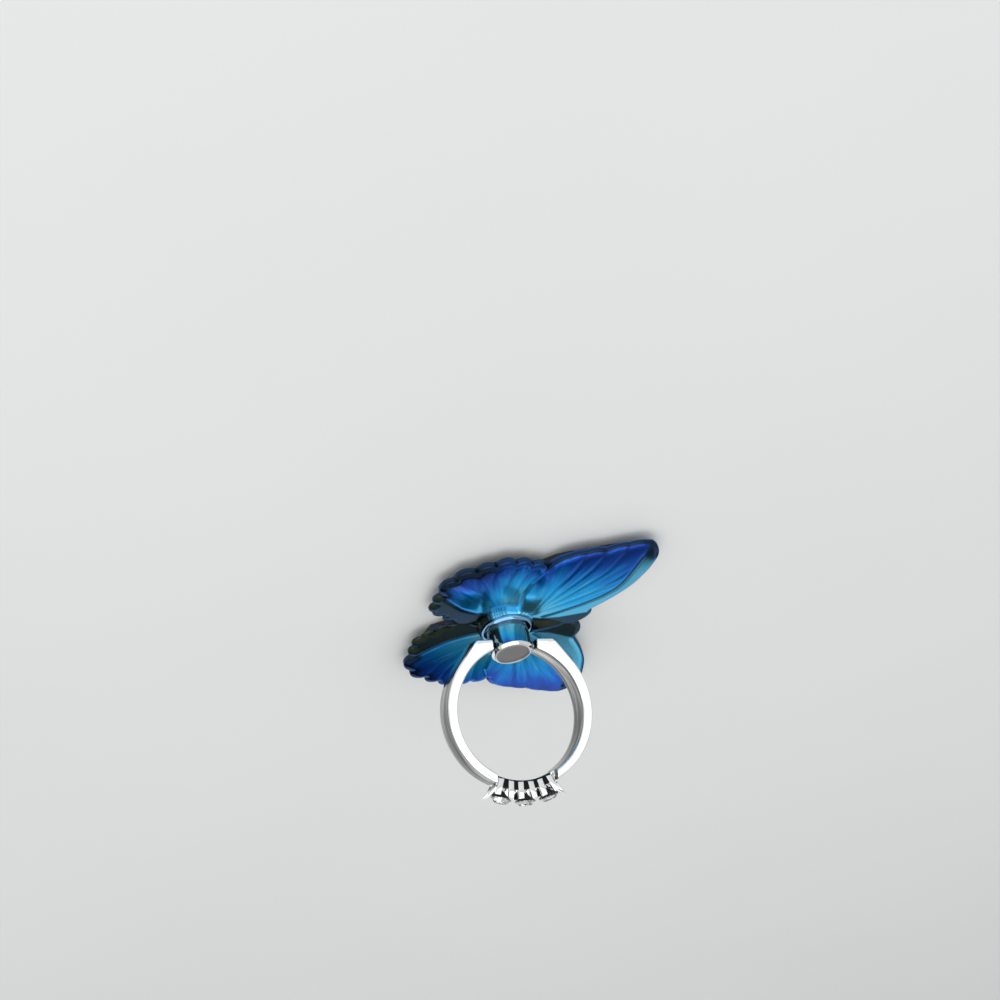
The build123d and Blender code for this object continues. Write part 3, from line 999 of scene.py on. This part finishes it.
# %% Tilt the ring into place
def painted_reflection_sides(start, place, colour, rough):
    """Painted reflections as dark, grey and bright lines along the band on its inner and outer side, and the
    recess painted near black.
    """
    read = read_layers(start, ("side", "recess", "across", "turn"))
    spot = start.node("ShaderNodeCombineXYZ", X=read["across"] * 5.0, Y=read["turn"] * 0.6, Z=read["side"])
    reflection_noise = noise(start, spot, 1.0, 4.0, 0.6)
    mask = read["side"].step(0.5, 0.9)
    # Painted reflections: the sides get dark, grey and bright lines in place of the dark and bright
    # surroundings their chrome reflects.
    dark_reflection, grey_reflection, bright_reflection = (0.05, 0.055, 0.055), (0.20, 0.20, 0.195), (0.60, 0.60, 0.60)
    painted_reflection_lines = reflection_noise.ramp((0.30, dark_reflection), (0.48, grey_reflection), (0.64, bright_reflection))
    colour = mask.mix(colour, painted_reflection_lines)
    # The recess between the bars, within the width of the setting, is painted near black.
    across_ring = start.node("ShaderNodeSeparateXYZ", out=0, Vector=place)
    away = across_ring.most(across_ring * -1.0)
    black = read["recess"] * (1.0 - away.step(4.25 * mm, 4.45 * mm))
    colour = black.mix(colour, rgb(0.012, 0.012, 0.013))
    return colour, rough + mask * (0.06 + reflection_noise * 0.08) + black * 0.3


axis = Vector((0, -cos(tilt), -sin(tilt)))
along = axis.cross(Vector((1, 0, 0)))
ring_matrix = Matrix((Vector((1, 0, 0)), along, axis)).transposed().to_4x4()
ring_matrix = Matrix.Translation((0, 0, pivot_height * mm)) @ ring_matrix
band.data.transform(ring_matrix)
only(band)
bpy.ops.object.shade_smooth_by_angle(angle=radians(50))
band.data.materials.clear()
band.data.materials.append(chrome("chrome_ring", (0.90, 0.905, 0.91), painted_reflection_sides))
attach(band, "ring")
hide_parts("finger_ring")
low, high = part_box("finger_ring")
print("ring box", [round(c / mm, 2) for c in low], [round(c / mm, 2) for c in high])


# %% [markdown]
# ## Stones
# A round brilliant is a set of flat facets between rings of corners: the table, the star points, the girdle
# and the culet. Circles give the corners at each level, and the convex hull operator stretches the facets.

# %% Cut one stone
stone_radius = 1.6
levels = [
    (8, 22.5, 0.9, 0.7), (8, 0.0, 1.2, 0.48), (16, 0.0, stone_radius, 0.1), (16, 0.0, stone_radius, 0.0),
    (8, 22.5, 0.40, -0.98),
]
gem = None
bpy.ops.object.select_all(action="DESELECT")
for count, shift, radius, height in levels:
    bpy.ops.mesh.primitive_circle_add(
        vertices=count, radius=radius * mm, location=(0, 0, height * mm), rotation=(0, 0, radians(shift))
    )
    bpy.ops.object.transform_apply(location=True, rotation=True, scale=True)
    if gem is None:
        gem = bpy.context.object
        continue
    gem.select_set(True)
    bpy.context.view_layer.objects.active = gem
    bpy.ops.object.join()
gem.name = "gem"
shape = edit(gem)
shape.verts.new((0, 0, -pavilion_depth * mm))
bmesh.update_edit_mesh(gem.data)
bpy.ops.mesh.select_all(action="SELECT")
bpy.ops.mesh.convex_hull()
bpy.ops.mesh.select_all(action="SELECT")
bpy.ops.mesh.normals_make_consistent(inside=False)
leave()
print("facets on a stone:", len(gem.data.polygons))

# %% Clear stone
material, shader, start = new_material("clear_stone")
place = object_place(start)
fire = start.node("ShaderNodeTexVoronoi", {"feature": "F1"}, 1, Vector=place, Scale=1300.0)
spark = start.node("ShaderNodeSeparateXYZ", out=0, Vector=fire)
haze = noise(start, place, 900.0, 2.0)
wire(shader, Base_Color=spark.mix(rgb(0.86, 0.87, 0.88), rgb(1.0, 1.0, 1.0)), Roughness=haze * 0.03)
wire(shader, Transmission_Weight=0.95, IOR=1.65)
glass = material
foil, shader, start = new_material("foil_back")
haze = noise(start, object_place(start), 1500.0, 3.0)
wire(shader, Base_Color=haze.mix(rgb(0.62, 0.62, 0.63), rgb(0.86, 0.86, 0.87)))
wire(shader, Metallic=1.0, Roughness=0.05 + haze * 0.08)
lacquer, shader, start = new_material("dark_lacquer")
haze = noise(start, object_place(start), 1500.0, 3.0)
wire(shader, Base_Color=haze.mix(rgb(0.012, 0.012, 0.013), rgb(0.03, 0.03, 0.032)))
wire(shader, Roughness=0.3 + haze * 0.2)
print("finishes:", glass.name, foil.name, lacquer.name)

# %% Back the stones and set them
lacquer_gap = 0.012
for finish in (glass, foil, lacquer):
    gem.data.materials.append(finish)
for face in gem.data.polygons:
    face.material_index = 1 if face.center.z < -0.02 * mm else 0
shape = edit(gem)
for face in shape.faces:
    face.select_set(face.material_index == 1)
bmesh.update_edit_mesh(gem.data)
bpy.ops.mesh.duplicate()
bpy.ops.transform.shrink_fatten(value=lacquer_gap * mm)
gem.active_material_index = 2
bpy.ops.object.material_slot_assign()
leave()
for step, name in ((-1, "stone_left"), (0, "stone_centre"), (1, "stone_right")):
    stone = placed_copy(gem, ring_matrix @ stone_matrix(step), "cut_" + name)
    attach(stone, "ring")
    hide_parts(name)
bpy.data.objects.remove(gem)
print("three stones set")


# %% [markdown]
# ## Hidden hardware and the adhesive
# The pad, the spring, the washer and the pin already have their right shape in the frame, so they stay as
# they are and only get a finish.

# %% Foam and steel
def dress(node, material):
    """Gives a solid of the frame its finish."""
    nodes[node].data.materials.clear()
    nodes[node].data.materials.append(material)


material, shader, start = new_material("adhesive_foam")
cells = noise(start, object_place(start), 2400.0, 3.0)
wire(shader, Base_Color=cells.mix(rgb(0.015, 0.016, 0.017), rgb(0.05, 0.052, 0.055)))
wire(shader, Roughness=0.72 + cells * 0.2, Normal=bump(start, cells, 0.4, 0.0001))
dress("adhesive_pad", material)

material, shader, start = new_material("spring_steel")
brush = turned_lines(start, object_place(start), 1800.0, 2.0, 2.0)
wire(shader, Base_Color=brush.mix(rgb(0.48, 0.48, 0.47), rgb(0.62, 0.62, 0.61)), Metallic=1.0)
wire(shader, Roughness=0.25 + brush * 0.12, Normal=bump(start, brush, 0.1, 0.00005))
for node in ("disc_spring", "retaining_washer", "hinge_pin"):
    dress(node, material)
print("finishes on the frame's own solids")

# %% Update the view layer
bpy.context.view_layer.update()
